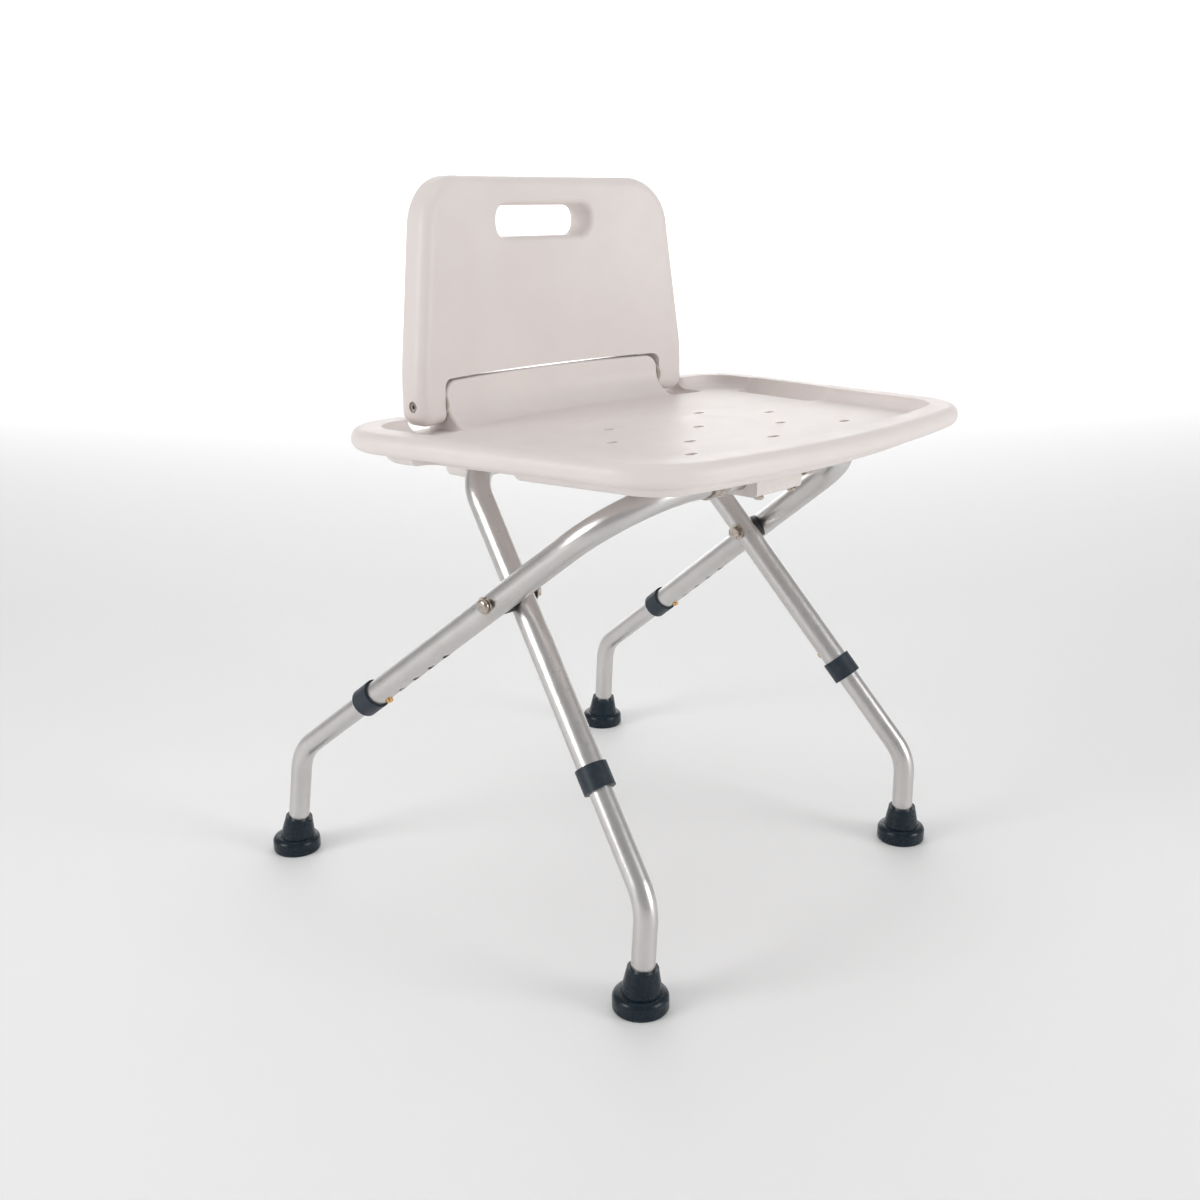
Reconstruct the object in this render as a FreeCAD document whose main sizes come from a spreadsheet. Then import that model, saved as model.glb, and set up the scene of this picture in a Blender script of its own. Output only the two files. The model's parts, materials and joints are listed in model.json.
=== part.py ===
import FreeCAD
import Part
import math
import os
import Sketcher
from FreeCAD import Placement, Rotation, Vector

# Folding shower stool. Millimetres, +Z up, the sitter faces -Y, origin on the floor
# under the middle of the whole stool. "left" is -X and "right" is +X.

os.makedirs("parts", exist_ok=True)
DOC = FreeCAD.newDocument("ShowerStool")

# Driving dimensions. Every one goes into the spreadsheet.
DIMS = {
    # frames
    "upper_tube_radius": 11.0,
    "upper_tube_bore": 9.8,
    "lower_tube_radius": 9.5,
    "lower_tube_bore": 8.3,
    "pivot_back": -25.4,
    "pivot_height": 287.0,
    "pivot_bore": 3.08,
    "outer_pivot_half": 175.0,
    "outer_knee_half": 208.5,
    "outer_knee_back": 214.6,
    "outer_knee_height": 102.7,
    "outer_foot_half": 214.8,
    "outer_foot_back": 227.1,
    "inner_pivot_half": 149.1,
    "inner_knee_half": 185.2,
    "inner_knee_back": -192.3,
    "inner_knee_height": 86.6,
    "inner_foot_half": 189.9,
    "inner_foot_back": -190.2,
    "cross_tube_height": 383.0,
    "outer_top_bend": 77.0,
    "inner_top_bend": 42.0,
    "knee_bend": 45.0,
    "outer_collar_start": 109.0,
    "inner_collar_start": 92.5,
    "collar_length": 20.0,
    "collar_lip": 4.0,
    "collar_radius": 13.2,
    "button_past_collar": 30.5,
    "hole_step": 21.8,
    "button_hole_radius": 3.5,
    # snap button
    "button_radius": 3.2,
    "button_reach": 13.8,
    "button_length": 8.0,
    "button_flange_radius": 4.2,
    "button_flange_length": 1.0,
    "spring_strip_width": 6.0,
    "spring_strip_length": 34.0,
    "spring_strip_thick": 0.5,
    "spring_strip_depth": 7.0,
    # foot
    "foot_radius": 22.0,
    "foot_lip_height": 13.8,
    "foot_lip_round": 5.0,
    "foot_waist_radius": 17.9,
    "foot_top_radius": 12.3,
    "foot_height": 34.0,
    "foot_cone_start": 5.0,
    "foot_lip_crown": 1.0,
    "foot_lip_bevel": 0.8,
    "foot_lip_inner": 15.9,
    "foot_socket_radius": 9.75,
    "foot_sole": 4.0,
    "foot_disc_radius": 8.8,
    "foot_disc_thick": 1.6,
    # pivot fittings
    "bolt_radius": 3.0,
    "bolt_head_radius": 6.2,
    "bolt_head_height": 3.6,
    "bolt_head_start": 188.9,
    "nut_radius": 5.6,
    "nut_start": 130.6,
    "nut_length": 5.0,
    "pivot_washer_radius": 7.5,
    "pivot_washer_thick": 1.2,
    "outer_washer_start": 187.5,
    "inner_washer_start": 135.7,
    "spacer_radius": 10.8,
    "outer_spacer_face": 162.5,
    "inner_spacer_face": 162.1,
    "spacer_reach": 9.0,
    # seat panel
    "seat_underside": 394.4,
    "seat_thick": 28.4,
    "seat_rim_lift": 11.4,
    "seat_rim_thick": 17.0,
    "seat_rim_round": 8.2,
    "belly_inset": 26.0,
    "belly_round": 8.0,
    "land_rear": 94.0,
    "seat_front": -249.1,
    "seat_front_bow": 26.0,
    "seat_front_half": 206.5,
    "seat_rear_half": 250.0,
    "seat_rear": 98.0,
    "seat_front_corner": 68.0,
    "seat_rear_corner": 54.0,
    "dish_inset": 24.0,
    "dish_depth": 11.0,
    "dish_round": 9.0,
    "dish_gap_half": 172.0,
    "dish_gap_round": 8.0,
    "dish_past_rear": 14.0,
    "ear_pocket_front": 48.0,
    "ear_pocket_floor": 14.0,
    "ear_pocket_round": 3.0,
    "upstand_half": 134.0,
    "upstand_top": 54.6,
    "upstand_sweep": 24.0,
    "upstand_dip": 0.2,
    "upstand_root": 10.0,
    "upstand_rear": 96.0,
    "upstand_corner": 13.0,
    "upstand_edge": 2.0,
    "slot_length": 104.0,
    "slot_width": 26.0,
    "slot_centre_half": 200.0,
    "slot_centre_back": -25.0,
    "slot_turn": 8.0,
    "drain_length": 12.0,
    "drain_width": 6.0,
    # backrest
    "back_pin_back": 78.6,
    "back_pin_height": 431.0,
    "back_bottom": -17.0,
    "back_low_half": 166.5,
    "back_low_straight": 25.0,
    "back_top_half": 144.2,
    "back_top": 182.0,
    "back_corner": 45.0,
    "back_thick": 30.0,
    "back_curve": 520.0,
    "back_face": 90.6,
    "back_edge_round": 9.5,
    "back_cut_half": 136.0,
    "back_cut_top": 19.8,
    "back_cut_corner": 8.0,
    "grip_half": 57.2,
    "grip_height": 26.0,
    "grip_centre": 145.0,
    "grip_corner": 11.0,
    "grip_edge_round": 6.0,
    "back_pin_radius": 2.5,
    "back_pin_bore": 2.58,
    "back_pin_inner": 124.5,
    "back_pin_outer": 165.6,
    "back_pin_head_radius": 4.2,
    "back_pin_head": 3.0,
    "back_head_pocket_radius": 4.7,
    "back_washer_radius": 9.0,
    "back_washer_thick": 1.4,
    # fittings under the seat
    "hinge_block_half": 30.0,
    "hinge_bore": 11.3,
    "hinge_block_depth": 40.0,
    "hinge_block_drop": 15.5,
    "strap_centre": 62.0,
    "strap_width": 18.0,
    "strap_thick": 1.6,
    "strap_lug": 13.0,
    "rear_block_inner": 62.0,
    "rear_block_outer": 122.0,
    "rear_block_front": 66.6,
    "rear_block_rear": 92.6,
    "rear_block_drop": 29.0,
    "rear_block_round": 8.0,
    "pin_drive_radius": 1.6,
    "head_recess_radius": 4.7,
    "screw_radius": 2.0,
    "screw_reach": 8.0,
    "screw_inset": 8.0,
    "screw_recess": 6.0,
    "screw_head_radius": 4.0,
    "screw_head_height": 2.4,
}

SHEET = DOC.addObject("Spreadsheet::Sheet", "Sizes")
STATE = {"row": 0, "final": []}


def put_size(name, value):
    """Add one named number to the spreadsheet."""
    STATE["row"] += 1
    row = STATE["row"]
    DIMS[name] = value
    SHEET.set("A%d" % row, name)
    SHEET.set("B%d" % row, "%.5f" % value)
    SHEET.setAlias("B%d" % row, name)


for dim_name, dim_value in list(DIMS.items()):
    put_size(dim_name, dim_value)
DOC.recompute()


def num(name):
    """Value of a size, with an optional minus sign in front of its name."""
    if name.startswith("-"):
        return -DIMS[name[1:]]
    return DIMS[name]


def link(item, prop, name):
    """Bind one property to the spreadsheet."""
    sign = "-" if name.startswith("-") else ""
    item.setExpression(prop, sign + "Sizes." + name.lstrip("-"))


def direction(parts):
    """Unit vector."""
    vec = Vector(*parts)
    vec.normalize()
    return vec


def finish(item, label, colour_group=None):
    """Mark an object as a finished sub-part."""
    item.Label = label
    STATE["final"].append(item)
    return item


# ---------------------------------------------------------------- sketch helpers

def make_body(name):
    return DOC.addObject("PartDesign::Body", name)


def make_sketch(body, name, role="XY_Plane", lift=None):
    """Sketch on one of the body's origin planes, lifted along the plane's normal."""
    sketch = body.newObject("Sketcher::SketchObject", name)
    plane = [item for item in body.Origin.OriginFeatures if item.Role == role][0]
    sketch.AttachmentSupport = [(plane, "")]
    sketch.MapMode = "FlatFace"
    if lift:
        link(sketch, "AttachmentOffset.Base.z", lift)
    return sketch


def pin_point(sketch, geo, pos, x_name, y_name):
    """Hold one sketch point at two spreadsheet sizes (None means zero)."""
    for kind, name in (("DistanceX", x_name), ("DistanceY", y_name)):
        value = num(name) if name else 0.0
        index = sketch.addConstraint(Sketcher.Constraint(kind, -1, 1, geo, pos, value))
        if name:
            link(sketch, "Constraints[%d]" % index, name)


def circle(sketch, radius, x_name=None, y_name=None):
    """Circle with its radius and centre bound to the spreadsheet."""
    centre = Vector(num(x_name) if x_name else 0.0, num(y_name) if y_name else 0.0, 0)
    geo = sketch.addGeometry(Part.Circle(centre, Vector(0, 0, 1), num(radius)))
    index = sketch.addConstraint(Sketcher.Constraint("Radius", geo, num(radius)))
    link(sketch, "Constraints[%d]" % index, radius)
    pin_point(sketch, geo, 3, x_name, y_name)
    return geo


def trace(sketch, prefix, steps, closed=True):
    """Chain of lines and arcs.

    steps is a list of (point, bulge): bulge None gives a line to the next point, or a
    middle point for an arc. Every vertex is put in the spreadsheet and bound to it.
    """
    points = [step[0] for step in steps]
    count = len(points)
    last = count if closed else count - 1
    names = []
    for index, point in enumerate(points):
        pair = ("%s_px%d" % (prefix, index), "%s_py%d" % (prefix, index))
        put_size(pair[0], point[0])
        put_size(pair[1], point[1])
        names.append(pair)
    DOC.recompute([SHEET])
    for index in range(last):
        start = Vector(points[index][0], points[index][1], 0)
        other = (index + 1) % count
        end = Vector(points[other][0], points[other][1], 0)
        middle = steps[index][1]
        if middle is None:
            geo = sketch.addGeometry(Part.LineSegment(start, end))
            pin_point(sketch, geo, 1, *names[index])
            pin_point(sketch, geo, 2, *names[other])
            continue
        centre = Part.Arc(start, Vector(middle[0], middle[1], 0), end).toShape().Curve.Center
        turn = (Vector(middle[0], middle[1], 0) - start).cross(end - start).z
        ends = (end, start) if turn < 0 else (start, end)
        angles = [math.atan2(item.y - centre.y, item.x - centre.x) for item in ends]
        radius = start.distanceToPoint(centre)
        full = Part.Circle(centre, Vector(0, 0, 1), radius)
        geo = sketch.addGeometry(Part.ArcOfCircle(full, angles[0], angles[1]))
        pin_point(sketch, geo, 2 if turn < 0 else 1, *names[index])
        pin_point(sketch, geo, 1 if turn < 0 else 2, *names[other])
        radius_name = "%s_radius%d" % (prefix, index)
        put_size(radius_name, radius)
        DOC.recompute([SHEET])
        held = sketch.addConstraint(Sketcher.Constraint("Radius", geo, radius))
        link(sketch, "Constraints[%d]" % held, radius_name)


def pad(body, sketch, name, length, symmetric=False, reverse=False):
    item = body.newObject("PartDesign::Pad", name)
    item.Profile = sketch
    link(item, "Length", length)
    if symmetric:
        item.SideType = "Symmetric"
    item.Reversed = reverse
    body.Tip = item
    return item


def revolve(body, sketch, name):
    item = body.newObject("PartDesign::Revolution", name)
    item.Profile = sketch
    item.ReferenceAxis = (sketch, ["V_Axis"])
    item.Angle = 360
    body.Tip = item
    return item


# ---------------------------------------------------------------- plane geometry helpers

def corner_arc(before, corner, after, radius):
    """Tangent points and middle point of a rounded corner."""
    to_before = direction((before[0] - corner[0], before[1] - corner[1], 0))
    to_after = direction((after[0] - corner[0], after[1] - corner[1], 0))
    half = to_before.getAngle(to_after) / 2
    reach = radius / math.tan(half)
    bisector = direction(tuple(to_before + to_after))
    corner_vec = Vector(corner[0], corner[1], 0)
    first = corner_vec + to_before * reach
    second = corner_vec + to_after * reach
    middle = corner_vec + bisector * (radius / math.sin(half) - radius)
    return (first.x, first.y), (middle.x, middle.y), (second.x, second.y)


def rounded_polygon(corners):
    """Steps for trace() from a list of (x, y, radius)."""
    steps = []
    count = len(corners)
    for index, (x_pos, y_pos, radius) in enumerate(corners):
        before = corners[index - 1][:2]
        after = corners[(index + 1) % count][:2]
        if radius <= 0:
            steps.append(((x_pos, y_pos), None))
            continue
        first, middle, second = corner_arc(before, (x_pos, y_pos), after, radius)
        steps.append((first, middle))
        steps.append((second, None))
    return steps


def mirrored(right, front_middle=None):
    """Close a right-hand chain that runs front to rear with its mirror image."""
    left = []
    for index in range(len(right) - 1, -1, -1):
        point = right[index][0]
        bulge = right[index - 1][1] if index > 0 else front_middle
        left.append(((-point[0], point[1]), (-bulge[0], bulge[1]) if bulge else None))
    return right + left


def seat_outline(inset, gap_half=None):
    """Plan outline of the seat moved inwards; a gap half-width adds an opening to the rear."""
    front = DIMS["seat_front"]
    bow = DIMS["seat_front_bow"]
    half = DIMS["seat_front_half"]
    front_radius = (half ** 2 + bow ** 2) / (2 * bow)
    arc_centre = Vector(0, front + front_radius, 0)
    arc_radius = front_radius - inset
    corner = DIMS["seat_front_corner"] - inset
    side_dir = direction((DIMS["seat_rear_half"] - half, DIMS["seat_rear"] - front - bow, 0))
    inward = Vector(-side_dir.y, side_dir.x, 0)
    # the front corner centre keeps its distance to the side line and touches the front arc
    anchor = Vector(half, front + bow, 0) + inward * DIMS["seat_front_corner"]
    gap = anchor - arc_centre
    along = gap.dot(side_dir)
    root = math.sqrt(along ** 2 - gap.dot(gap) + (arc_radius - corner) ** 2)
    centre = anchor - side_dir * (along + root)
    from_arc = direction(tuple(centre - arc_centre))
    touch_front = arc_centre + from_arc * arc_radius
    touch_side = centre - inward * corner
    middle = centre + direction(tuple(from_arc - inward)) * corner
    rear_line = DIMS["seat_rear"] - inset
    rear_corner = touch_side + side_dir * ((rear_line - touch_side.y) / side_dir.y)
    side_end, rear_mid, rear_start = corner_arc(
        (touch_side.x, touch_side.y), (rear_corner.x, rear_corner.y), (0, rear_line),
        DIMS["seat_rear_corner"] - inset)
    right = [
        ((touch_front.x, touch_front.y), (middle.x, middle.y)),
        ((touch_side.x, touch_side.y), None),
        (side_end, rear_mid),
        (rear_start, None),
    ]
    if gap_half:
        gap_end = (gap_half, DIMS["seat_rear"] + DIMS["dish_past_rear"])
        first, mid, second = corner_arc(
            rear_start, (gap_half, rear_line), gap_end, DIMS["dish_gap_round"])
        right += [(first, mid), (second, None), (gap_end, None)]
    return mirrored(right, (0.0, arc_centre.y - arc_radius))


# ---------------------------------------------------------------- solid helpers

def cylinder(name, radius, start, end):
    """Cylinder between two points; its radius is bound, its ends come from sizes."""
    item = DOC.addObject("Part::Cylinder", name)
    link(item, "Radius", radius)
    run = end - start
    item.Height = run.Length
    item.Placement = Placement(start, Rotation(Vector(0, 0, 1), run))
    return item


def box(name, low, high):
    item = DOC.addObject("Part::Box", name)
    item.Length = high[0] - low[0]
    item.Width = high[1] - low[1]
    item.Height = high[2] - low[2]
    item.Placement = Placement(Vector(*low), Rotation())
    return item


def fuse(name, items):
    item = DOC.addObject("Part::MultiFuse", name)
    item.Shapes = items
    item.Refine = True
    return item


def cut(name, base, tool):
    item = DOC.addObject("Part::Cut", name)
    item.Base = base
    item.Tool = tool
    item.Refine = True
    return item


def group(name, items):
    """Several separate identical solids as one node."""
    item = DOC.addObject("Part::Compound", name)
    item.Links = items
    return item


def round_edges(name, base, radius, test):
    """Part::Fillet on the edges that pass a test."""
    DOC.recompute()
    chosen = []
    for index, edge in enumerate(base.Shape.Edges, 1):
        if test(edge):
            chosen.append((index, radius, radius))
    item = DOC.addObject("Part::Fillet", name)
    item.Base = base
    item.Edges = chosen
    DOC.recompute()
    if item.Shape.isNull() or not item.Shape.isValid():
        raise RuntimeError("fillet failed: " + name)
    return item


def body_fillet(body, base, name, radius, test):
    """PartDesign fillet on the edges of a feature that pass a test."""
    DOC.recompute()
    names = ["Edge%d" % index for index, edge in enumerate(base.Shape.Edges, 1) if test(edge)]
    item = body.newObject("PartDesign::Fillet", name)
    item.Base = (base, names)
    link(item, "Radius", radius)
    body.Tip = item
    DOC.recompute()
    return item


SIDES = (("left", -1), ("right", 1))
SEAT_LIFT = Placement(Vector(0, 0, DIMS["seat_underside"]), Rotation())
PIVOT = Vector(0, DIMS["pivot_back"], DIMS["pivot_height"])


class Frame:
    """Numbers of one crossed frame: where its legs, knees and feet run."""

    def __init__(self, kind):
        self.kind = kind
        self.pivot_half = DIMS[kind + "_pivot_half"]
        knee_half = DIMS[kind + "_knee_half"]
        self.knee = Vector(knee_half, DIMS[kind + "_knee_back"], DIMS[kind + "_knee_height"])
        self.foot = Vector(DIMS[kind + "_foot_half"], DIMS[kind + "_foot_back"], 0)
        run_y = PIVOT.y - self.knee.y
        run_z = PIVOT.z - self.knee.z
        self.plane_run = math.hypot(run_y, run_z)
        self.slope = (self.pivot_half - knee_half) / self.plane_run
        self.stretch = math.hypot(1, self.slope)
        self.angle = math.degrees(math.atan2(run_z, run_y))
        self.place = Placement(PIVOT, Rotation(Vector(1, 0, 0), self.angle))
        self.along = Vector(0, run_y, run_z) * (1 / self.plane_run)
        lower = self.place.Rotation.multVec(Vector(0, 0, 1))
        self.underside = lower if lower.z < 0 else lower * -1
        self.collar = DIMS[kind + "_collar_start"]
        self.button = self.collar + DIMS["button_past_collar"]

    def leg_dir(self, sign):
        """Unit vector up the leg tube."""
        return direction(tuple(Vector(sign * self.slope, 0, 0) + self.along))

    def leg_point(self, sign, distance):
        """Point on the leg axis, a distance above the knee."""
        knee = Vector(sign * self.knee.x, self.knee.y, self.knee.z)
        return knee + self.leg_dir(sign) * distance

    def stub_dir(self, sign):
        """Unit vector from the knee down to the foot."""
        return direction((sign * (self.foot.x - self.knee.x), self.foot.y - self.knee.y, -self.knee.z))


OUTER = Frame("outer")
INNER = Frame("inner")


# ---------------------------------------------------------------- bent upper tubes

def frame_tube(frame, label):
    """U-shaped upper tube: two legs that splay, two top bends and the cross tube."""
    kind = frame.kind
    top = (DIMS["cross_tube_height"] - PIVOT.z) / frame.along.z
    end = -frame.plane_run + (frame.collar + DIMS["collar_lip"]) / frame.stretch
    corner = (frame.pivot_half + frame.slope * top, top)
    low = (frame.pivot_half + frame.slope * end, end)
    first, middle, second = corner_arc((0, top), corner, low, DIMS[kind + "_top_bend"])
    body = make_body(kind + "_tube_body")
    path = make_sketch(body, kind + "_tube_path")
    right = [((0, top), None), (first, middle), (second, None), (low, None)]
    trace(path, kind + "_tube", right, closed=False)
    profile = make_sketch(body, kind + "_tube_profile", "YZ_Plane")
    put_size(kind + "_tube_top", top)
    circle(profile, "upper_tube_radius", kind + "_tube_top")
    circle(profile, "upper_tube_bore", kind + "_tube_top")
    pipe = body.newObject("PartDesign::AdditivePipe", kind + "_tube_sweep")
    pipe.Profile = profile
    pipe.Spine = (path, [])
    body.Tip = pipe
    DOC.recompute()
    mirror = body.newObject("PartDesign::Mirrored", kind + "_tube_mirror")
    mirror.Originals = [pipe]
    plane = [item for item in body.Origin.OriginFeatures if item.Role == "YZ_Plane"][0]
    mirror.MirrorPlane = (plane, [""])
    body.Tip = mirror
    body.Placement = frame.place
    tools = []
    for side, sign in SIDES:
        for step in range(5):
            centre = frame.leg_point(sign, frame.button + step * DIMS["hole_step"])
            deep = centre + frame.underside * (2 * DIMS["upper_tube_radius"])
            tools.append(cylinder("%s_hole_%s_%d" % (kind, side, step), "button_hole_radius", centre, deep))
    reach = Vector(frame.pivot_half + 3 * DIMS["upper_tube_radius"], 0, 0)
    tools.append(cylinder(kind + "_pivot_hole", "pivot_bore", PIVOT - reach, PIVOT + reach))
    return finish(cut(kind + "_tube_cut", body, fuse(kind + "_tube_holes", tools)), label)


# ---------------------------------------------------------------- leg extensions and feet

def knee_rotation(frame, sign):
    """Local Y up the leg, local X towards the foot."""
    up = frame.leg_dir(sign)
    stub = frame.stub_dir(sign)
    side = direction(tuple(stub - up * stub.dot(up)))
    return Rotation(side, up, side.cross(up), "XYZ")


def leg_extension(frame, side, sign, label):
    """Lower tube: straight part inside the upper tube, knee bend and stub into the foot."""
    name = "ext_%s_%s" % (frame.kind, side)
    top = frame.button + 30.0
    up = frame.leg_dir(sign)
    stub = frame.stub_dir(sign)
    turn = up.getAngle(stub)
    stub_length = (frame.foot - Vector(abs(frame.knee.x), frame.knee.y, frame.knee.z)).Length
    stub_end = stub_length - (DIMS["foot_sole"] + DIMS["foot_disc_thick"] + 1.6)
    tip = (stub_end * math.sin(turn), -top + stub_end * math.cos(turn))
    first, middle, second = corner_arc((0, 0), (0, -top), tip, DIMS["knee_bend"])
    body = make_body(name)
    path = make_sketch(body, name + "_path")
    trace(path, name, [((0, 0), None), (first, middle), (second, None), (tip, None)], closed=False)
    profile = make_sketch(body, name + "_profile", "XZ_Plane")
    circle(profile, "lower_tube_radius")
    circle(profile, "lower_tube_bore")
    pipe = body.newObject("PartDesign::AdditivePipe", name + "_sweep")
    pipe.Profile = profile
    pipe.Spine = (path, [])
    body.Tip = pipe
    body.Placement = Placement(frame.leg_point(sign, top), knee_rotation(frame, sign))
    centre = frame.leg_point(sign, frame.button)
    outside = centre + frame.underside * (2 * DIMS["lower_tube_radius"])
    hole = cylinder(name + "_hole", "button_hole_radius", centre, outside)
    return finish(cut(name + "_cut", body, hole), label)


def foot(frame, side, sign, label):
    """Rubber foot: round lip on the floor and a cone that leans with the tube."""
    name = "foot_%s_%s" % (frame.kind, side)
    lean = frame.stub_dir(sign) * -1
    lean = lean * (1 / lean.z)
    body = make_body(name)
    lip = make_sketch(body, name + "_lip_section", "XZ_Plane")
    radius = DIMS["foot_radius"]
    height = DIMS["foot_lip_height"]
    rounding = DIMS["foot_lip_round"]
    bevel = DIMS["foot_lip_bevel"]
    inner = DIMS["foot_lip_inner"]
    rise = height + DIMS["foot_lip_crown"]
    steps = rounded_polygon([
        (0, 0, 0), (radius - bevel, 0, 0), (radius, 2 * bevel, 0), (radius, height, rounding),
        (inner, rise, 0), (0, rise, 0)])
    trace(lip, name + "_lip", steps)
    revolve(body, lip, name + "_lip_turn")
    body.Placement = Placement(Vector(sign * frame.foot.x, frame.foot.y, 0), Rotation())
    base = body.Placement.Base
    cone = DOC.addObject("Part::Cone", name + "_cone")
    link(cone, "Radius1", "foot_waist_radius")
    link(cone, "Radius2", "foot_top_radius")
    start = base + lean * DIMS["foot_cone_start"]
    end = base + lean * DIMS["foot_height"]
    cone.Height = (end - start).Length
    cone.Placement = Placement(start, Rotation(Vector(0, 0, 1), lean))
    solid = fuse(name + "_solid", [body, cone])
    socket = cylinder(name + "_socket", "foot_socket_radius", base + lean * DIMS["foot_sole"], base + lean * 50.0)
    return finish(cut(name + "_cut", solid, socket), label)


def foot_disc(frame, side, sign, label):
    """Steel disc in the foot under the end of the tube."""
    lean = frame.stub_dir(sign) * -1
    base = Vector(sign * frame.foot.x, frame.foot.y, 0)
    start = base + lean * (DIMS["foot_sole"] + 0.9)
    end = start + lean * DIMS["foot_disc_thick"]
    name = "foot_disc_%s_%s" % (frame.kind, side)
    return finish(cylinder(name, "foot_disc_radius", start, end), label)


# ---------------------------------------------------------------- collars and snap buttons

def collars(frame, label):
    """Plastic sleeves over the lower ends of the upper tubes, with a lip round the extension."""
    items = []
    for side, sign in SIDES:
        name = "collar_%s_%s" % (frame.kind, side)
        low = frame.leg_point(sign, frame.collar)
        step = frame.leg_point(sign, frame.collar + DIMS["collar_lip"])
        high = frame.leg_point(sign, frame.collar + DIMS["collar_length"])
        sleeve = cylinder(name + "_sleeve", "collar_radius", low, high)
        seat = cylinder(name + "_seat", "upper_tube_radius", step, high + (high - step))
        bore = cylinder(name + "_bore", "upper_tube_bore", low - (high - low), high)
        items.append(cut(name + "_cut", sleeve, fuse(name + "_hollow", [seat, bore])))
    return finish(group("collars_" + frame.kind, items), label)


def snap_button(frame, side, sign, label):
    """Brass button with a flange inside the extension tube."""
    name = "button_%s_%s" % (frame.kind, side)
    centre = frame.leg_point(sign, frame.button)
    out = frame.underside
    top = centre + out * DIMS["button_reach"]
    bottom = top - out * DIMS["button_length"]
    shank = cylinder(name + "_shank", "button_radius", bottom, top)
    rounded = round_edges(name + "_dome", shank, 1.6, lambda edge: (edge.CenterOfMass - top).Length < 0.5)
    flange_end = bottom - out * DIMS["button_flange_length"]
    flange = cylinder(name + "_flange", "button_flange_radius", flange_end, bottom + out * 0.3)
    return finish(fuse(name + "_solid", [rounded, flange]), label)


def button_spring(frame, side, sign, label):
    """Steel strip spring on the wall opposite the button."""
    name = "spring_%s_%s" % (frame.kind, side)
    up = frame.leg_dir(sign)
    out = frame.underside
    centre = frame.leg_point(sign, frame.button) - out * DIMS["spring_strip_depth"]
    rotation = Rotation(up.cross(out), up, out, "ZYX")
    length = DIMS["spring_strip_length"]
    width = DIMS["spring_strip_width"]
    thick = DIMS["spring_strip_thick"]
    strip = DOC.addObject("Part::Box", name + "_strip")
    link(strip, "Length", "spring_strip_width")
    link(strip, "Width", "spring_strip_length")
    link(strip, "Height", "spring_strip_thick")
    strip.Placement = Placement(Vector(-width / 2, -length / 2, 0), Rotation())
    lift = DOC.addObject("Part::Box", name + "_return")
    link(lift, "Length", "spring_strip_width")
    link(lift, "Width", "spring_strip_thick")
    lift.Height = 6.0
    lift.Placement = Placement(Vector(-width / 2, -length / 2, 0), Rotation())
    arm = DOC.addObject("Part::Box", name + "_arm")
    link(arm, "Length", "spring_strip_width")
    arm.Width = length / 3
    link(arm, "Height", "spring_strip_thick")
    arm.Placement = Placement(Vector(-width / 2, -length / 2, 6.0 - thick), Rotation())
    item = fuse(name + "_solid", [strip, lift, arm])
    item.Placement = Placement(centre, rotation)
    return finish(item, label)


# ---------------------------------------------------------------- pivot fittings

def across(name, radius, start, end, sign):
    """Cylinder along X beside the pivot."""
    return cylinder(name, radius, PIVOT + Vector(sign * start, 0, 0), PIVOT + Vector(sign * end, 0, 0))


def pivot_fittings():
    """Bolts, washers, nuts and the plastic spacers between the crossing tubes."""
    bolts = []
    nuts = []
    washers = []
    for side, sign in SIDES:
        head_start = DIMS["bolt_head_start"]
        head_end = head_start + DIMS["bolt_head_height"]
        nut_end = DIMS["nut_start"] + DIMS["nut_length"]
        shank = across("bolt_shank_" + side, "bolt_radius", DIMS["nut_start"] + 1.5, head_start + 1, sign)
        head = across("bolt_head_" + side, "bolt_head_radius", head_start, head_end, sign)
        tip = PIVOT + Vector(sign * head_end, 0, 0)
        dome = round_edges("bolt_dome_" + side, head, 3.0, lambda edge: (edge.CenterOfMass - tip).Length < 0.5)
        bolts.append(fuse("bolt_" + side, [shank, dome]))
        hexagon = DOC.addObject("Part::Prism", "nut_hex_" + side)
        hexagon.Polygon = 6
        link(hexagon, "Circumradius", "nut_radius")
        link(hexagon, "Height", "nut_length")
        start = PIVOT + Vector(sign * DIMS["nut_start"], 0, 0)
        hexagon.Placement = Placement(start, Rotation(Vector(0, 0, 1), Vector(sign, 0, 0)))
        thread = across("nut_thread_" + side, "bolt_radius", DIMS["nut_start"] + 1.5, nut_end + 1, sign)
        nuts.append(cut("nut_" + side, hexagon, thread))
        for place in ("outer", "inner"):
            low = DIMS[place + "_washer_start"]
            high = low + DIMS["pivot_washer_thick"]
            name = "washer_%s_%s" % (place, side)
            disc = across(name + "_disc", "pivot_washer_radius", low, high, sign)
            hole = across(name + "_hole", "bolt_radius", low - 1, high + 1, sign)
            washers.append(cut(name, disc, hole))
    finish(group("pivot_bolts_group", bolts), "pivot_bolts")
    finish(group("pivot_nuts_group", nuts), "pivot_nuts")
    finish(group("pivot_washers_group", washers), "pivot_washers")


def spacers(frame, label, face, way, clearance_bore):
    """Saddle spacers: flat towards the other frame, hollowed to sit on their own tube."""
    items = []
    for side, sign in SIDES:
        name = "spacer_%s_%s" % (frame.kind, side)
        low = DIMS[face]
        disc = across(name + "_disc", "spacer_radius", low, low + way * DIMS["spacer_reach"], sign)
        axis_low = frame.leg_point(sign, frame.plane_run * frame.stretch - 60)
        axis_high = frame.leg_point(sign, frame.plane_run * frame.stretch + 60)
        tube = cylinder(name + "_tube", "upper_tube_radius", axis_low, axis_high)
        hole = across(name + "_hole", clearance_bore, low - 20, low + 20, sign)
        items.append(cut(name, disc, fuse(name + "_hollow", [tube, hole])))
    return finish(group("spacers_" + frame.kind, items), label)


# ---------------------------------------------------------------- seat panel

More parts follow.
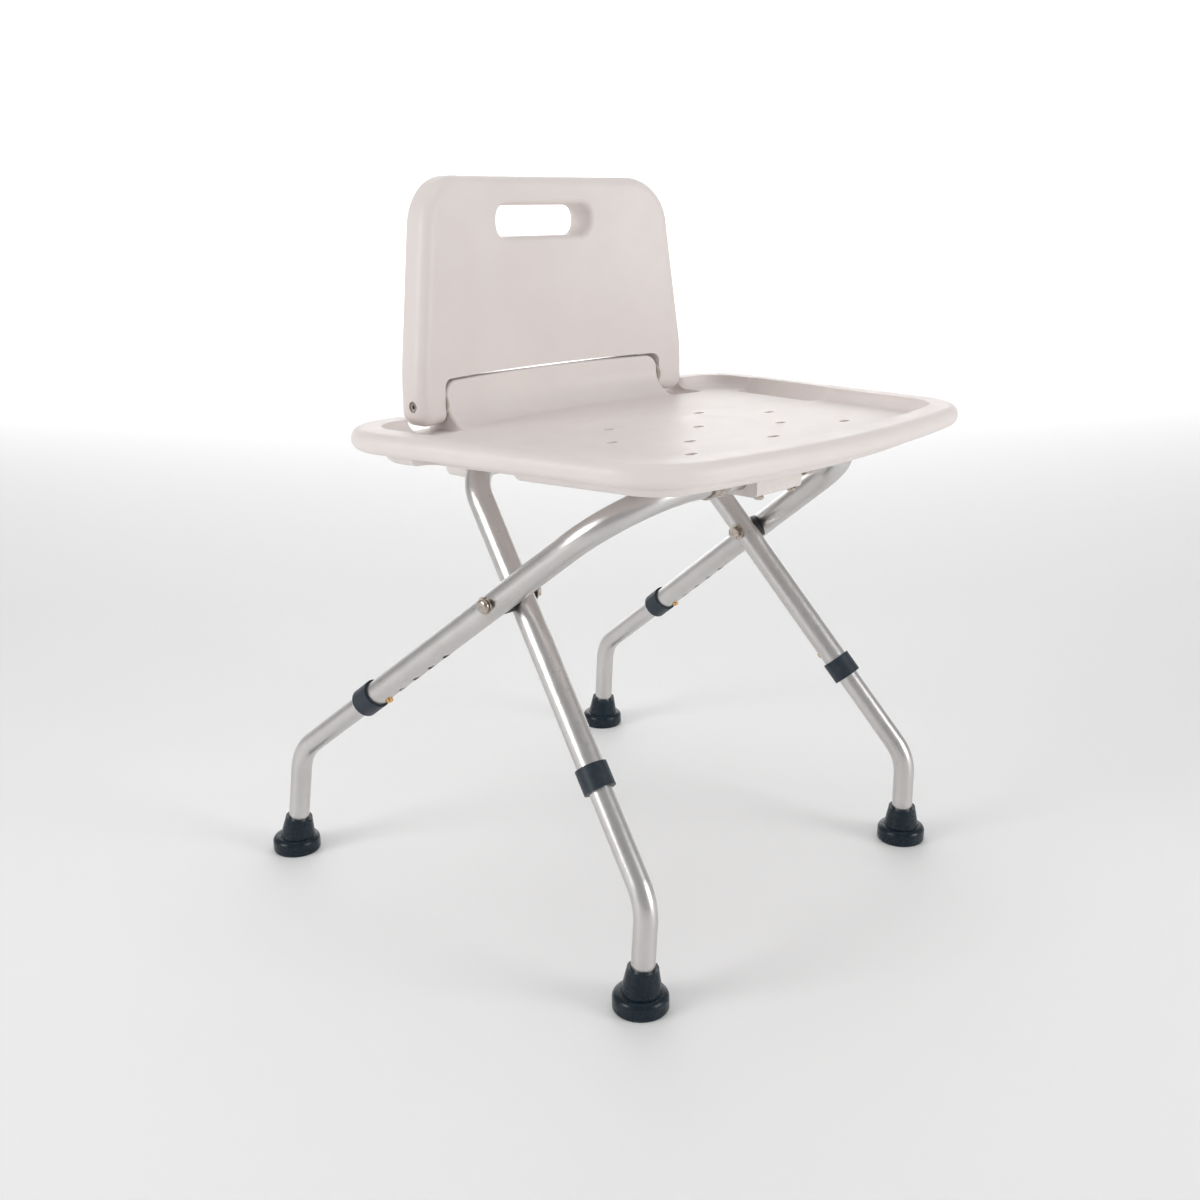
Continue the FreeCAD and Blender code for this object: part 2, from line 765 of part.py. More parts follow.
def level_edge(level):
    """Test for the flat edges of one height."""
    return lambda edge: abs(edge.BoundBox.ZMin - level) < 0.01 and edge.BoundBox.ZLength < 0.01


def seat_slab():
    """Seat blank: a thin outer part with a full-round rim on a deeper belly."""
    rim = make_body("seat_rim")
    outline = make_sketch(rim, "seat_outline", "XY_Plane", "seat_rim_lift")
    trace(outline, "seat_outline", seat_outline(0.0))
    rim_pad = pad(rim, outline, "seat_rim_pad", "seat_rim_thick")
    low = DIMS["seat_rim_lift"]
    high = low + DIMS["seat_rim_thick"]
    body_fillet(rim, rim_pad, "seat_rim_fillet", "seat_rim_round", lambda edge: (
        level_edge(low)(edge) or level_edge(high)(edge)))
    belly = make_body("seat_belly")
    plan = make_sketch(belly, "belly_outline")
    trace(plan, "belly_outline", seat_outline(DIMS["belly_inset"]))
    put_size("belly_depth", low + DIMS["seat_rim_round"])
    belly_pad = pad(belly, plan, "belly_pad", "belly_depth")
    body_fillet(belly, belly_pad, "belly_fillet", "belly_round", level_edge(0.0))
    for body in (rim, belly):
        body.Placement = SEAT_LIFT
    half = DIMS["rear_block_outer"] + DIMS["screw_inset"] / 2
    base = DIMS["seat_underside"]
    land = box("seat_rear_land", (-half, 0, base), (half, DIMS["land_rear"], base + DIMS["belly_depth"]))
    return fuse("seat_slab", [rim, belly, land])


def seat_dish():
    """Space above the dished top, open to the rear between the rim corners."""
    floor = DIMS["seat_thick"] - DIMS["dish_depth"]
    body = make_body("seat_dish")
    put_size("dish_floor", floor)
    put_size("dish_cut_height", DIMS["dish_depth"] + 30)
    outline = make_sketch(body, "dish_outline", "XY_Plane", "dish_floor")
    trace(outline, "dish_outline", seat_outline(DIMS["dish_inset"], DIMS["dish_gap_half"]))
    dish_pad = pad(body, outline, "dish_pad", "dish_cut_height")

    body_fillet(body, dish_pad, "dish_fillet", "dish_round", level_edge(floor))
    body.Placement = SEAT_LIFT
    return body


def ear_pockets():
    """Deeper places in the dish where the backrest ears swing."""
    items = []
    low_z = DIMS["seat_underside"] + DIMS["ear_pocket_floor"]
    high_y = DIMS["seat_rear"] + DIMS["dish_past_rear"]
    for side, sign in SIDES:
        ends = sorted((sign * DIMS["upstand_half"], sign * DIMS["dish_gap_half"]))
        pocket = box("ear_pocket_" + side, (ends[0], DIMS["ear_pocket_front"], low_z), (ends[1], high_y, low_z + 40))
        items.append(round_edges(
            "ear_pocket_round_" + side, pocket, DIMS["ear_pocket_round"],
            lambda edge: abs(edge.BoundBox.ZMax - low_z) < 0.01))
    return items


def seat_upstand():
    """Low wall at the rear that carries the backrest, with its sweep up from the dish."""
    radius = DIMS["back_curve"]
    sweep = DIMS["upstand_sweep"]
    floor = DIMS["seat_thick"] - DIMS["dish_depth"]
    top = DIMS["upstand_top"]
    root = DIMS["upstand_root"]
    level = floor + sweep - DIMS["upstand_dip"]
    ring = make_body("upstand_ring")
    section = make_sketch(ring, "upstand_section", "XZ_Plane")
    diagonal = sweep * math.sqrt(0.5)
    trace(section, "upstand_section", [
        ((radius - sweep, root), None), ((radius + 60, root), None), ((radius + 60, top), None),
        ((radius, top), None), ((radius, level), (radius - sweep + diagonal, level - diagonal)),
        ((radius - sweep, level - sweep), None)])
    revolve(ring, section, "upstand_turn")
    ring.Placement = Placement(Vector(0, DIMS["back_face"] - radius, DIMS["seat_underside"]), Rotation())
    wall = make_body("upstand_wall")
    face = make_sketch(wall, "upstand_face", "XZ_Plane")
    half = DIMS["upstand_half"]
    corner = DIMS["upstand_corner"]
    trace(face, "upstand_face", rounded_polygon([
        (half, root, 0), (half, top, corner), (-half, top, corner), (-half, root, 0)]))
    put_size("upstand_span", 2 * DIMS["upstand_rear"])
    pad(wall, face, "upstand_wall_pad", "upstand_span", symmetric=True)
    wall.Placement = SEAT_LIFT
    common = DOC.addObject("Part::MultiCommon", "upstand_common")
    common.Shapes = [ring, wall]
    ceiling = DIMS["seat_underside"] + top

    def top_edge(edge):
        return edge.BoundBox.XLength > 1 and edge.BoundBox.ZMax > ceiling - 0.01

    return round_edges("upstand_soft", common, DIMS["upstand_edge"], top_edge)


def seat_holes():
    """Hand slots at both sides, drain holes, and the bores for the backrest pins."""
    holes = []
    base = DIMS["seat_underside"]
    for side, sign in SIDES:
        body = make_body("slot_" + side)
        sketch = make_sketch(body, "slot_sketch_" + side)
        half_w = DIMS["slot_width"] / 2
        half_l = DIMS["slot_length"] / 2
        trace(sketch, "slot_" + side, rounded_polygon([
            (half_w, -half_l, half_w - 1), (half_w, half_l, half_w - 1),
            (-half_w, half_l, half_w - 1), (-half_w, -half_l, half_w - 1)]))
        pad(body, sketch, "slot_pad_" + side, "seat_thick")
        turn = Rotation(Vector(0, 0, 1), -sign * DIMS["slot_turn"])
        body.Placement = Placement(
            Vector(sign * DIMS["slot_centre_half"], DIMS["slot_centre_back"], base), turn)
        holes.append(body)
    for index, (x_pos, y_pos) in enumerate(drain_places()):
        body = make_body("drain_%d" % index)
        sketch = make_sketch(body, "drain_sketch_%d" % index)
        half_w = DIMS["drain_width"] / 2
        half_l = DIMS["drain_length"] / 2
        trace(sketch, "drain_%d" % index, rounded_polygon([
            (half_l, -half_w, half_w - 0.2), (half_l, half_w, half_w - 0.2),
            (-half_l, half_w, half_w - 0.2), (-half_l, -half_w, half_w - 0.2)]))
        pad(body, sketch, "drain_pad_%d" % index, "seat_thick")
        body.Placement = Placement(Vector(x_pos, y_pos, base), Rotation())
        holes.append(body)
    axis = Vector(0, DIMS["back_pin_back"], DIMS["back_pin_height"])
    for side, sign in SIDES:
        start = axis + Vector(sign * DIMS["back_pin_inner"], 0, 0)
        end = axis + Vector(sign * (DIMS["upstand_half"] + 5), 0, 0)
        holes.append(cylinder("pin_seat_hole_" + side, "back_pin_radius", start, end))
    holes += screw_bores("seat", base - 1, base + DIMS["screw_reach"])
    return fuse("seat_holes", holes)


def seat_panel():
    """Blow-moulded seat: rounded rim, dished top, upstand, hand slots and drain holes."""
    tools = fuse("seat_dish_tools", [seat_dish()] + ear_pockets())
    dished = cut("seat_dished", seat_slab(), tools)
    raised = fuse("seat_raised", [dished, seat_upstand()])
    return finish(cut("seat_panel_cut", raised, seat_holes()), "seat_panel")


def drain_places():
    """Drain holes: pairs left and right of the middle, in rows that are half a step apart."""
    places = [(0.0, -87.5), (0.0, -163.4)]
    for sign in (-1, 1):
        places.append((sign * 102.0, -84.5))
        places.append((sign * 102.0, -163.0))
        places.append((sign * 58.5, -40.5))
        places.append((sign * 60.0, -127.0))
    return places


# ---------------------------------------------------------------- backrest

def backrest_blank():
    """Backrest outline seen from the front, cut from a band that is curved in plan."""
    low = DIMS["back_bottom"]
    low_half = DIMS["back_low_half"]
    straight = DIMS["back_low_straight"]
    top_half = DIMS["back_top_half"]
    top = DIMS["back_top"]
    corner = DIMS["back_corner"]
    cut_half = DIMS["back_cut_half"]
    cut_top = DIMS["back_cut_top"]
    cut_corner = DIMS["back_cut_corner"]
    shape = make_body("back_shape")
    outline = make_sketch(shape, "back_outline")
    trace(outline, "back_outline", rounded_polygon([
        (cut_half, low, 0), (low_half, low, 12.0), (low_half, straight, 200.0), (top_half, top, corner),
        (-top_half, top, corner), (-low_half, straight, 200.0), (-low_half, low, 12.0),
        (-cut_half, low, 0), (-cut_half, cut_top, cut_corner), (cut_half, cut_top, cut_corner)]))
    put_size("back_pad_depth", 160.0)
    pad(shape, outline, "back_outline_pad", "back_pad_depth", symmetric=True)
    band = make_body("back_band")
    plan = make_sketch(band, "back_plan", "XZ_Plane")
    radius = DIMS["back_curve"]
    outer = radius + DIMS["back_thick"]
    front_mid = DIMS["back_pin_back"] - DIMS["back_face"]
    reach = low_half + 6
    front_end = front_mid + radius - math.sqrt(radius ** 2 - reach ** 2)
    rear_end = front_mid + radius - math.sqrt(outer ** 2 - reach ** 2)
    rear_mid = front_mid - DIMS["back_thick"]
    trace(plan, "back_plan", [
        ((reach, front_end), (0.0, front_mid)), ((-reach, front_end), None),
        ((-reach, rear_end), (0.0, rear_mid)), ((reach, rear_end), None)])
    put_size("back_band_height", 500.0)
    pad(band, plan, "back_band_pad", "back_band_height", symmetric=True)
    common = DOC.addObject("Part::MultiCommon", "back_common")
    common.Shapes = [shape, band]
    return common


def backrest_panel():
    """Backrest: rounded outline, curved in plan, grip hole, and ears beside the upstand."""
    cut_half = DIMS["back_cut_half"]
    cut_top = DIMS["back_cut_top"]
    thick = DIMS["back_thick"]
    far = DIMS["back_low_half"] + 10

    def outer_edge(edge):
        centre = edge.CenterOfMass
        inside = abs(centre.x) < cut_half + 1 and centre.y < cut_top + 1
        return not inside and edge.BoundBox.ZLength < thick - 3

    soft = round_edges("back_soft", backrest_blank(), DIMS["back_edge_round"], outer_edge)
    grip = make_body("back_grip")
    grip_sketch = make_sketch(grip, "grip_sketch")
    half_w = DIMS["grip_half"]
    half_h = DIMS["grip_height"] / 2
    middle = DIMS["grip_centre"]
    corner = DIMS["grip_corner"]
    trace(grip_sketch, "grip", rounded_polygon([
        (half_w, middle - half_h, corner), (half_w, middle + half_h, corner),
        (-half_w, middle + half_h, corner), (-half_w, middle - half_h, corner)]))
    pad(grip, grip_sketch, "grip_pad", "back_pad_depth", symmetric=True)
    opened = cut("back_opened", soft, grip)

    def grip_edge(edge):
        centre = edge.CenterOfMass
        near = abs(centre.x) < half_w + 1 and abs(centre.y - middle) < half_h + 1
        return near and edge.BoundBox.ZLength < thick - 6

    gripped = round_edges("back_gripped", opened, DIMS["grip_edge_round"], grip_edge)
    bores = []
    for side, sign in SIDES:
        start = Vector(sign * (cut_half - 10), 0, 0)
        end = Vector(sign * far, 0, 0)
        head = Vector(sign * (DIMS["back_pin_outer"] - DIMS["back_pin_head"] - 0.3), 0, 0)
        bores.append(cylinder("ear_bore_" + side, "back_pin_bore", start, end))
        bores.append(cylinder("ear_head_" + side, "back_head_pocket_radius", head, end))
    panel = cut("back_panel_cut", gripped, fuse("ear_bores", bores))
    panel.Placement = Placement(
        Vector(0, DIMS["back_pin_back"], DIMS["back_pin_height"]), Rotation(Vector(1, 0, 0), 90))
    return finish(panel, "backrest_panel")


def backrest_pins():
    """Pins through the ears into the upstand, and the washers between them."""
    axis = Vector(0, DIMS["back_pin_back"], DIMS["back_pin_height"])
    pins = []
    washers = []
    for side, sign in SIDES:
        inner = axis + Vector(sign * DIMS["back_pin_inner"], 0, 0)
        outer = axis + Vector(sign * DIMS["back_pin_outer"], 0, 0)
        under = axis + Vector(sign * (DIMS["back_pin_outer"] - DIMS["back_pin_head"]), 0, 0)
        shank = cylinder("back_pin_shank_" + side, "back_pin_radius", inner, outer)
        head = cylinder("back_pin_head_" + side, "back_pin_head_radius", under, outer)
        drive = cylinder(
            "back_pin_drive_" + side, "pin_drive_radius", outer - Vector(sign * 2, 0, 0), outer + Vector(sign, 0, 0))
        pins.append(cut("back_pin_" + side, fuse("back_pin_blank_" + side, [shank, head]), drive))
        low = DIMS["upstand_half"] + 0.2
        start = axis + Vector(sign * low, 0, 0)
        end = start + Vector(sign * DIMS["back_washer_thick"], 0, 0)
        disc = cylinder("back_washer_disc_" + side, "back_washer_radius", start, end)
        hole = cylinder("back_washer_hole_" + side, "back_pin_bore", start - Vector(sign, 0, 0), end + Vector(sign, 0, 0))
        washers.append(cut("back_washer_" + side, disc, hole))
    finish(group("back_pins_group", pins), "backrest_pins")
    finish(group("back_washers_group", washers), "backrest_washers")


# ---------------------------------------------------------------- fittings under the seat

def front_tube_middle():
    """Middle of the front cross tube, the hinge line of the seat."""
    rise = DIMS["cross_tube_height"] - PIVOT.z
    return PIVOT + OUTER.along * (rise / OUTER.along.z)


def screw_places():
    """Place of every screw under the seat: owner, x, y and the height of its head."""
    under = DIMS["seat_underside"]
    middle = front_tube_middle().y
    inset = DIMS["screw_inset"]
    places = []
    block_level = DIMS["cross_tube_height"] - DIMS["hinge_block_drop"]
    x_block = DIMS["hinge_block_half"] - inset
    y_block = DIMS["hinge_block_depth"] / 2 - DIMS["screw_head_radius"] - 0.2
    lug_reach = DIMS["hinge_bore"] + DIMS["strap_thick"] + DIMS["strap_lug"] / 2
    x_quarter = (DIMS["rear_block_outer"] - DIMS["rear_block_inner"]) / 4
    y_rear = (DIMS["rear_block_front"] + DIMS["rear_block_rear"]) / 2
    for side, sign in SIDES:
        for way in (-1, 1):
            places.append(("hinge_block", sign * x_block, middle + way * y_block, block_level))
            strap_level = under - DIMS["strap_thick"]
            places.append(("strap_" + side, sign * DIMS["strap_centre"], middle + way * lug_reach, strap_level))
        for share in (1, 3):
            x_pos = sign * (DIMS["rear_block_inner"] + share * x_quarter)
            places.append(("rear_block_" + side, x_pos, y_rear, under - DIMS["screw_recess"]))
    return places


def screw_bores(owner, low, high):
    """Clearance holes in one under-seat piece for its own screws."""
    bores = []
    for index, (name, x_pos, y_pos, level) in enumerate(screw_places()):
        if owner in (name, "seat"):
            tag = "%s_bore_%d" % (owner, index)
            bores.append(cylinder(tag, "screw_radius", Vector(x_pos, y_pos, low), Vector(x_pos, y_pos, high)))
    return bores


def screw(name, x_pos, y_pos, head_level):
    """Screw up into the seat with its head below."""
    head_top = Vector(x_pos, y_pos, head_level)
    head_low = head_top - Vector(0, 0, DIMS["screw_head_height"])
    tip = Vector(x_pos, y_pos, DIMS["seat_underside"] + DIMS["screw_reach"])
    head = cylinder(name + "_head", "screw_head_radius", head_low, head_top)
    dome = round_edges(name + "_dome", head, 1.4, lambda edge: (edge.CenterOfMass - head_low).Length < 0.3)
    shank = cylinder(name + "_shank", "screw_radius", head_low + Vector(0, 0, 1.0), tip)
    return fuse(name, [dome, shank])


def hinge_block():
    """Plastic block that wraps the middle of the front cross tube."""
    under = DIMS["seat_underside"]
    level = DIMS["cross_tube_height"]
    middle = front_tube_middle().y
    depth = DIMS["hinge_block_depth"] / 2
    half = DIMS["hinge_block_half"]
    low_z = level - DIMS["hinge_block_drop"]
    block = box("hinge_block_raw", (-half, middle - depth, low_z), (half, middle + depth, under))
    soft = round_edges("hinge_block_soft", block, 4.0, lambda edge: (
        edge.BoundBox.ZMax < low_z + 0.1 and edge.BoundBox.XLength > half))
    bore = cylinder("hinge_block_bore", "hinge_bore", Vector(-half - 5, middle, level), Vector(half + 5, middle, level))
    tools = [bore] + screw_bores("hinge_block", low_z - 1, under + 1)
    finish(cut("hinge_block_cut", soft, fuse("hinge_block_tools", tools)), "front_hinge_block")


def straps():
    """Steel straps over the front cross tube, left and right of the block."""
    under = DIMS["seat_underside"]
    level = DIMS["cross_tube_height"]
    middle = front_tube_middle().y
    thick = DIMS["strap_thick"]
    put_size("strap_outer", DIMS["hinge_bore"] + thick)
    reach = DIMS["strap_outer"] + DIMS["strap_lug"]
    items = []
    for side, sign in SIDES:
        low = sign * DIMS["strap_centre"] - DIMS["strap_width"] / 2
        high = low + DIMS["strap_width"]
        ring = cylinder("strap_ring_" + side, "strap_outer", Vector(low, middle, level), Vector(high, middle, level))
        lug = box("strap_lug_" + side, (low, middle - reach, under - thick), (high, middle + reach, under))
        above = box("strap_above_" + side, (low - 1, middle - reach, under), (high + 1, middle + reach, under + 20))
        bore = cylinder("strap_bore_" + side, "hinge_bore", Vector(low - 1, middle, level), Vector(high + 1, middle, level))
        tools = [bore, above] + screw_bores("strap_" + side, under - 5, under + 5)
        raw = fuse("strap_raw_" + side, [ring, lug])
        items.append(cut("strap_" + side, raw, fuse("strap_tools_" + side, tools)))
    finish(group("straps_group", items), "front_straps")


def rear_stop_blocks():
    """Blocks behind the rear cross tube that keep it under the seat."""
    under = DIMS["seat_underside"]
    low_z = under - DIMS["rear_block_drop"]
    for side, sign in SIDES:
        ends = sorted((sign * DIMS["rear_block_inner"], sign * DIMS["rear_block_outer"]))
        raw = box(
            "rear_block_raw_" + side, (ends[0], DIMS["rear_block_front"], low_z),
            (ends[1], DIMS["rear_block_rear"], under))
        soft = round_edges("rear_block_soft_" + side, raw, DIMS["rear_block_round"], lambda edge: (
            edge.BoundBox.ZMax < low_z + 0.1 and edge.BoundBox.YLength > 5))
        tools = screw_bores("rear_block_" + side, low_z - 1, under + 1)
        for index, (owner, x_pos, y_pos, level) in enumerate(screw_places()):
            if owner == "rear_block_" + side:
                start = Vector(x_pos, y_pos, low_z - 1)
                name = "rear_recess_%s_%d" % (side, index)
                tools.append(cylinder(name, "head_recess_radius", start, Vector(x_pos, y_pos, level)))
        item = cut("rear_block_cut_" + side, soft, fuse("rear_block_tools_" + side, tools))
        finish(item, "rear_stop_block_" + side)


def under_seat():
    """All the pieces screwed to the underside of the seat."""
    hinge_block()
    straps()
    rear_stop_blocks()
    screws = []
    for index, (_, x_pos, y_pos, level) in enumerate(screw_places()):
        screws.append(screw("screw_%d" % index, x_pos, y_pos, level))
    finish(group("seat_screws_group", screws), "seat_screws")


# ---------------------------------------------------------------- build everything

frame_tube(OUTER, "outer_frame_tube")
frame_tube(INNER, "inner_frame_tube")
for frame_item, place_name in ((OUTER, "rear"), (INNER, "front")):
    for side_name, side_sign in SIDES:
        tag = "%s_%s" % (place_name, side_name)
        leg_extension(frame_item, side_name, side_sign, "leg_extension_" + tag)
        foot(frame_item, side_name, side_sign, "foot_" + tag)
        foot_disc(frame_item, side_name, side_sign, "foot_disc_" + tag)
        snap_button(frame_item, side_name, side_sign, "snap_button_" + tag)
        button_spring(frame_item, side_name, side_sign, "button_spring_" + tag)
collars(OUTER, "outer_collars")
collars(INNER, "inner_collars")
pivot_fittings()
spacers(OUTER, "outer_spacers", "outer_spacer_face", 1, "bolt_radius")
spacers(INNER, "inner_spacers", "inner_spacer_face", -1, "pivot_bore")
under_seat()
seat_panel()
backrest_panel()
backrest_pins()
DOC.recompute()

for item in DOC.Objects:
    if "Invalid" in item.State or "Error" in item.State:
        raise RuntimeError("broken object " + item.Name + " " + str(item.State))
for item in STATE["final"]:
    solid = item.Shape
    if solid.isNull() or not solid.isValid():
        raise RuntimeError("bad shape " + item.Label)
    solid.exportStep("parts/" + item.Label + ".step")
    bounds = solid.BoundBox
    print("%-26s solids %d volume %9.0f  x %.1f..%.1f y %.1f..%.1f z %.1f..%.1f" % (
        item.Label, len(solid.Solids), solid.Volume, bounds.XMin, bounds.XMax,
        bounds.YMin, bounds.YMax, bounds.ZMin, bounds.ZMax))
print("sub-parts", len(STATE["final"]))
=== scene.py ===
import json
import math
import bpy
from mathutils import Matrix, Vector

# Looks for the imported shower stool. Every CAD node keeps its shape and gets a procedural
# material by its record slot. Around it come a camera, a plain pale floor and soft lights.

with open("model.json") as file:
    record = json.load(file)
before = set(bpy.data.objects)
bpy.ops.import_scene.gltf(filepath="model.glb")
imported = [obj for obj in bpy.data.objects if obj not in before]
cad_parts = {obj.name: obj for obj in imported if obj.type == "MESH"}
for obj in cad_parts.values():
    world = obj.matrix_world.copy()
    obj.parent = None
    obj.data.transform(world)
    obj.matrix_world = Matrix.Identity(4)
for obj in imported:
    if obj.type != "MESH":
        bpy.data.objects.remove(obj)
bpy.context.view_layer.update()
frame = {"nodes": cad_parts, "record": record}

# Camera, in metres and degrees.
CAMERA_PLACE = (-0.8444, -0.7672, 0.5860)
CAMERA_YAW = math.radians(-46.758)
CAMERA_PITCH = math.radians(16.655)
CAMERA_ROLL = math.radians(-0.56)
CAMERA_LENS = 39.32
CAMERA_SENSOR = 36.0
CAMERA_FAR = 60.0

# Floor, in metres along the camera's heading: flat from behind the camera to past the
# stool, then a quarter-round cove and an upright backdrop.
FLOOR_HALF_WIDTH = 14.0
FLOOR_NEAR = -9.0
FLOOR_FAR = 5.0
COVE_RADIUS = 3.0
COVE_STEPS = 12
BACKDROP_HEIGHT = 9.0
FLOOR_COLOUR = (0.93, 0.93, 0.93)
FLOOR_ROUGHNESS = 0.6

WORLD_STRENGTH = 0.42

# Soft area lights: name, place, target, width, height, power in watts.
LIGHTS = (
    ("key", (-2.6, 0.9, 1.3), (0.0, 0.0, 0.35), 1.2, 1.5, 31.0),
    ("fill", (0.9, -2.7, 1.0), (0.0, 0.0, 0.35), 1.2, 1.5, 30.0),
    ("top", (0.2, 0.2, 3.0), (0.0, 0.0, 0.3), 2.4, 2.4, 12.0),
    ("backdrop", (3.3, 3.1, 4.4), (6.4, 6.0, 0.8), 7.0, 2.0, 420.0),
)

# Ranges of a noise texture that are stretched over a material's two values.
UPPER_SPREAD = (0.35, 0.7)
WIDE_SPREAD = (0.3, 0.7)


# ---------------------------------------------------------------- node helpers

class Look:
    """One procedural material and the few node calls that its recipe needs."""

    def __init__(self, name, **constants):
        self.material = bpy.data.materials.new(name)
        self.material.use_nodes = True
        self.nodes = self.material.node_tree.nodes
        self.links = self.material.node_tree.links
        self.shader = self.nodes["Principled BSDF"]
        self.coords = self.nodes.new("ShaderNodeTexCoord").outputs["Object"]
        self.normal = None
        for socket, value in constants.items():
            self.shader.inputs[socket.replace("_", " ")].default_value = value

    def stretched(self, scale):
        """Coordinates scaled differently along each axis."""
        mapping = self.nodes.new("ShaderNodeMapping")
        mapping.inputs["Scale"].default_value = scale
        self.links.new(self.coords, mapping.inputs["Vector"])
        return mapping.outputs["Vector"]

    def noise(self, scale, detail, roughness=0.55, vector=None):
        """Fractal noise, its scale per metre."""
        node = self.nodes.new("ShaderNodeTexNoise")
        node.inputs["Scale"].default_value = scale
        node.inputs["Detail"].default_value = detail
        node.inputs["Roughness"].default_value = roughness
        self.links.new(vector or self.coords, node.inputs["Vector"])
        return node.outputs["Fac"]

    def cells(self, scale):
        """Distance to the nearest of scattered points, for moulded grain."""
        node = self.nodes.new("ShaderNodeTexVoronoi")
        node.inputs["Scale"].default_value = scale
        self.links.new(self.coords, node.inputs["Vector"])
        return node.outputs["Distance"]

    def remap(self, value, spread, low, high):
        """Stretch a range of values, clamped, to low and high."""
        node = self.nodes.new("ShaderNodeMapRange")
        node.inputs["From Min"].default_value = spread[0]
        node.inputs["From Max"].default_value = spread[1]
        node.inputs["To Min"].default_value = low
        node.inputs["To Max"].default_value = high
        self.links.new(value, node.inputs["Value"])
        return node.outputs["Result"]

    def mix(self, factor, first, second):
        """Colour mix; each side is a colour or a colour output."""
        node = self.nodes.new("ShaderNodeMix")
        node.data_type = "RGBA"
        self.links.new(factor, node.inputs["Factor"])
        colour_inputs = [item for item in node.inputs if item.type == "RGBA"]
        for item, value in zip(colour_inputs, (first, second)):
            if isinstance(value, tuple):
                item.default_value = (*value, 1.0)
            else:
                self.links.new(value, item)
        return [item for item in node.outputs if item.type == "RGBA"][0]

    def mottled(self, value, spread, first, second):
        """Two colours mixed by a texture."""
        return self.mix(self.remap(value, spread, 0.0, 1.0), first, second)

    def colour(self, value):
        self.links.new(value, self.shader.inputs["Base Color"])

    def roughness(self, value, low, high):
        self.links.new(self.remap(value, WIDE_SPREAD, low, high), self.shader.inputs["Roughness"])

    def bump(self, height, distance, strength):
        """One more layer of bump on top of those already there."""
        node = self.nodes.new("ShaderNodeBump")
        node.inputs["Distance"].default_value = distance
        node.inputs["Strength"].default_value = strength
        self.links.new(height, node.inputs["Height"])
        if self.normal:
            self.links.new(self.normal, node.inputs["Normal"])
        self.normal = node.outputs["Normal"]
        self.links.new(self.normal, self.shader.inputs["Normal"])


# ---------------------------------------------------------------- materials

def moulded_panel():
    """Ivory blow-moulded plastic: soft waviness, fine grain, faint mottling and scuffs."""
    look = Look("moulded_panel", Metallic=0.0, IOR=1.5, Subsurface_Weight=0.12,
                Subsurface_Scale=0.004, Subsurface_Radius=(1.0, 0.8, 0.6))
    base = look.mottled(
        look.noise(9.0, 3.0), (0.35, 0.65), (0.80, 0.735, 0.712), (0.84, 0.78, 0.755))
    streaks = look.noise(1.0, 4.0, 0.7, look.stretched((420.0, 55.0, 160.0)))
    scuff = look.remap(streaks, (0.66, 0.80), 0.0, 0.35)
    look.colour(look.mix(scuff, base, (0.70, 0.655, 0.62)))
    look.roughness(look.noise(70.0, 4.0), 0.36, 0.50)
    look.bump(look.noise(26.0, 2.0), 0.0012, 0.10)
    look.bump(look.noise(900.0, 3.0), 0.00010, 0.22)
    look.bump(look.cells(620.0), 0.00008, 0.16)
    return look.material


def anodised_tube():
    """Satin anodised aluminium with a fine grain and faint drawing lines."""
    look = Look("anodised_tube", Metallic=1.0)
    look.colour(look.mottled(
        look.noise(18.0, 3.0), WIDE_SPREAD, (0.60, 0.582, 0.572), (0.67, 0.652, 0.642)))
    look.roughness(look.noise(240.0, 4.0), 0.27, 0.37)
    look.bump(look.noise(2600.0, 2.0), 0.00004, 0.22)
    lines = look.noise(1.0, 3.0, 0.6, look.stretched((1500.0, 90.0, 90.0)))
    look.bump(lines, 0.00003, 0.12)
    return look.material


def foot_rubber():
    """Dark blue-green moulded rubber with a waxy bloom."""
    look = Look("foot_rubber", Metallic=0.0, Specular_IOR_Level=0.32)
    look.colour(look.mottled(
        look.noise(120.0, 4.0), (0.45, 0.75), (0.0025, 0.0110, 0.0190), (0.006, 0.019, 0.029)))
    look.roughness(look.noise(300.0, 3.0), 0.22, 0.36)
    look.bump(look.noise(1400.0, 3.0), 0.00006, 0.25)
    return look.material


def grained_plastic(name, first, second, rough):
    """Moulded engineering plastic with a fine spark-eroded grain."""
    look = Look(name, Metallic=0.0, Specular_IOR_Level=0.4)
    look.colour(look.mottled(look.noise(160.0, 3.0), UPPER_SPREAD, first, second))
    look.roughness(look.noise(420.0, 3.0), rough - 0.07, rough + 0.08)
    look.bump(look.cells(1500.0), 0.00005, 0.22)
    return look.material


def bright_metal(name, first, second, rough):
    """Turned or plated metal with fine wear."""
    look = Look(name, Metallic=1.0)
    look.colour(look.mottled(look.noise(260.0, 4.0), UPPER_SPREAD, first, second))
    look.roughness(look.noise(500.0, 4.0), rough - 0.06, rough + 0.10)
    look.bump(look.noise(1800.0, 2.0), 0.00003, 0.18)
    return look.material


